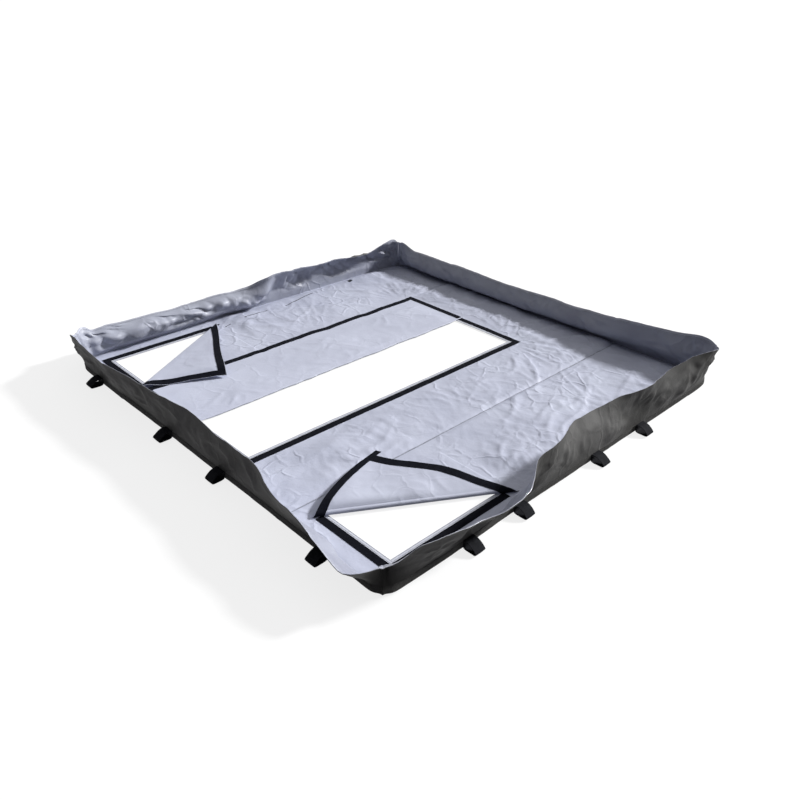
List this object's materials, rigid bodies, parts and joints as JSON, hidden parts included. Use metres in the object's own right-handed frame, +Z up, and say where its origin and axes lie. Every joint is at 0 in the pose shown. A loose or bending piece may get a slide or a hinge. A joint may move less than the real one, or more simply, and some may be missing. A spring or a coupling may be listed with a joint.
{
  "type": "spa cover",
  "caption": "Square fabric spa cover lying inside-up, with upright skirts, tape-closed access flaps over cut openings, and webbing tie-down loops at its base.",
  "frame": {"origin": "middle of the underside of the panel, on the ground", "axes": "+Z up, out of the open side; +X to the right and +Y to the back, with the openings at the left; the two corner openings are at the front and the back"},
  "size_m": [2.26, 2.26, 0.2],
  "materials": {
    "silver_inner": "glossy coated woven polyester",
    "charcoal_outer": "satin coated woven polyester",
    "binding": "matte woven",
    "webbing": "matte ribbed webbing",
    "hook_tape": "matte hooks",
    "loop_tape": "matte loop pile"
  },
  "bodies": {
    "cover": {"panel_front": "silver_inner", "panel_centre": "silver_inner", "panel_back": "silver_inner", "skirt_left": "charcoal_outer", "skirt_right": "charcoal_outer", "skirt_front": "charcoal_outer", "skirt_back": "charcoal_outer", "rim_hem_left": "charcoal_outer", "rim_hem_right": "charcoal_outer", "rim_hem_front": "charcoal_outer", "rim_hem_back": "charcoal_outer", "base_binding_left": "binding", "base_binding_right": "binding", "base_binding_front": "binding", "base_binding_back": "binding", "centre_hook_tape_long": "hook_tape", "centre_hook_tape_left": "hook_tape", "centre_hook_tape_right": "hook_tape", "centre_flap_hem": "silver_inner", "front_hook_tape_short": "hook_tape", "front_hook_tape_long": "hook_tape", "front_flap_sewn_part": "silver_inner", "back_hook_tape_short": "hook_tape", "back_hook_tape_long": "hook_tape", "back_flap_sewn_part": "silver_inner"},
    "centre_flap_sewn_half": {"centre_flap_sewn_half": "silver_inner", "centre_loop_tape_sewn_half": "loop_tape"},
    "centre_flap_free_half": {"centre_flap_free_half": "silver_inner", "centre_loop_tape_long": "loop_tape", "centre_loop_tape_free_half": "loop_tape"},
    "front_corner_flap": {"front_flap_peeled_part": "silver_inner", "front_loop_tape_short": "loop_tape", "front_loop_tape_long": "loop_tape"},
    "back_corner_flap": {"back_flap_peeled_part": "silver_inner", "back_flap_tip": "silver_inner", "back_loop_tape": "loop_tape", "back_loop_tape_tip": "loop_tape"},
    "webbing_loop_left_1": {"webbing_loop_left_1": "webbing"},
    "webbing_loop_left_2": {"webbing_loop_left_2": "webbing"},
    "webbing_loop_left_3": {"webbing_loop_left_3": "webbing"},
    "webbing_loop_left_4": {"webbing_loop_left_4": "webbing"},
    "webbing_loop_right_1": {"webbing_loop_right_1": "webbing"},
    "webbing_loop_right_2": {"webbing_loop_right_2": "webbing"},
    "webbing_loop_right_3": {"webbing_loop_right_3": "webbing"},
    "webbing_loop_right_4": {"webbing_loop_right_4": "webbing"},
    "webbing_loop_front_1": {"webbing_loop_front_1": "webbing"},
    "webbing_loop_front_2": {"webbing_loop_front_2": "webbing"},
    "webbing_loop_front_3": {"webbing_loop_front_3": "webbing"},
    "webbing_loop_front_4": {"webbing_loop_front_4": "webbing"},
    "webbing_loop_back_1": {"webbing_loop_back_1": "webbing"},
    "webbing_loop_back_2": {"webbing_loop_back_2": "webbing"},
    "webbing_loop_back_3": {"webbing_loop_back_3": "webbing"},
    "webbing_loop_back_4": {"webbing_loop_back_4": "webbing"}
  },
  "joints": [
    {"name": "centre_flap_lift", "type": "hinge", "parent": "cover", "child": "centre_flap_sewn_half", "pos_m": [0, 0.602, 0.0063], "axis": [-1, 0, 0], "range_deg": [0, 90], "deforming": ["back_flap_tip", "back_loop_tape_tip"]},
    {"name": "centre_flap_unfold", "type": "hinge", "parent": "centre_flap_sewn_half", "child": "centre_flap_free_half", "pos_m": [0, 0.197, 0.00765], "axis": [1, 0, 0], "range_deg": [0, 180], "deforming": ["back_flap_tip", "back_loop_tape_tip"]},
    {"name": "front_corner_flap_close", "type": "hinge", "parent": "cover", "child": "front_corner_flap", "pos_m": [-0.976, -0.606, 0.014], "axis": [0.8594, -0.5113, 0], "range_deg": [0, 174]},
    {"name": "back_corner_flap_close", "type": "hinge", "parent": "cover", "child": "back_corner_flap", "pos_m": [-0.976, 0.606, 0.014], "axis": [-0.8594, -0.5113, 0], "range_deg": [0, 174]},
    {"name": "webbing_loop_left_1_swing", "type": "hinge", "parent": "cover", "child": "webbing_loop_left_1", "pos_m": [-1.069, -0.79, 0.034], "axis": [0, 1, 0], "range_deg": [0, 85]},
    {"name": "webbing_loop_left_2_swing", "type": "hinge", "parent": "cover", "child": "webbing_loop_left_2", "pos_m": [-1.069, -0.19, 0.034], "axis": [0, 1, 0], "range_deg": [0, 85]},
    {"name": "webbing_loop_left_3_swing", "type": "hinge", "parent": "cover", "child": "webbing_loop_left_3", "pos_m": [-1.069, 0.19, 0.034], "axis": [0, 1, 0], "range_deg": [0, 85]},
    {"name": "webbing_loop_left_4_swing", "type": "hinge", "parent": "cover", "child": "webbing_loop_left_4", "pos_m": [-1.069, 0.79, 0.034], "axis": [0, 1, 0], "range_deg": [0, 85]},
    {"name": "webbing_loop_right_1_swing", "type": "hinge", "parent": "cover", "child": "webbing_loop_right_1", "pos_m": [1.069, -0.79, 0.034], "axis": [0, -1, 0], "range_deg": [0, 85]},
    {"name": "webbing_loop_right_2_swing", "type": "hinge", "parent": "cover", "child": "webbing_loop_right_2", "pos_m": [1.069, -0.19, 0.034], "axis": [0, -1, 0], "range_deg": [0, 85]},
    {"name": "webbing_loop_right_3_swing", "type": "hinge", "parent": "cover", "child": "webbing_loop_right_3", "pos_m": [1.069, 0.19, 0.034], "axis": [0, -1, 0], "range_deg": [0, 85]},
    {"name": "webbing_loop_right_4_swing", "type": "hinge", "parent": "cover", "child": "webbing_loop_right_4", "pos_m": [1.069, 0.79, 0.034], "axis": [0, -1, 0], "range_deg": [0, 85]},
    {"name": "webbing_loop_front_1_swing", "type": "hinge", "parent": "cover", "child": "webbing_loop_front_1", "pos_m": [-0.686, -1.069, 0.034], "axis": [-1, 0, 0], "range_deg": [0, 85]},
    {"name": "webbing_loop_front_2_swing", "type": "hinge", "parent": "cover", "child": "webbing_loop_front_2", "pos_m": [-0.413, -1.069, 0.034], "axis": [-1, 0, 0], "range_deg": [0, 85]},
    {"name": "webbing_loop_front_3_swing", "type": "hinge", "parent": "cover", "child": "webbing_loop_front_3", "pos_m": [0.066, -1.069, 0.034], "axis": [-1, 0, 0], "range_deg": [0, 85]},
    {"name": "webbing_loop_front_4_swing", "type": "hinge", "parent": "cover", "child": "webbing_loop_front_4", "pos_m": [0.397, -1.069, 0.034], "axis": [-1, 0, 0], "range_deg": [0, 85]},
    {"name": "webbing_loop_back_1_swing", "type": "hinge", "parent": "cover", "child": "webbing_loop_back_1", "pos_m": [-0.686, 1.069, 0.034], "axis": [1, 0, 0], "range_deg": [0, 85]},
    {"name": "webbing_loop_back_2_swing", "type": "hinge", "parent": "cover", "child": "webbing_loop_back_2", "pos_m": [-0.413, 1.069, 0.034], "axis": [1, 0, 0], "range_deg": [0, 85]},
    {"name": "webbing_loop_back_3_swing", "type": "hinge", "parent": "cover", "child": "webbing_loop_back_3", "pos_m": [0.066, 1.069, 0.034], "axis": [1, 0, 0], "range_deg": [0, 85]},
    {"name": "webbing_loop_back_4_swing", "type": "hinge", "parent": "cover", "child": "webbing_loop_back_4", "pos_m": [0.397, 1.069, 0.034], "axis": [1, 0, 0], "range_deg": [0, 85]}
  ]
}
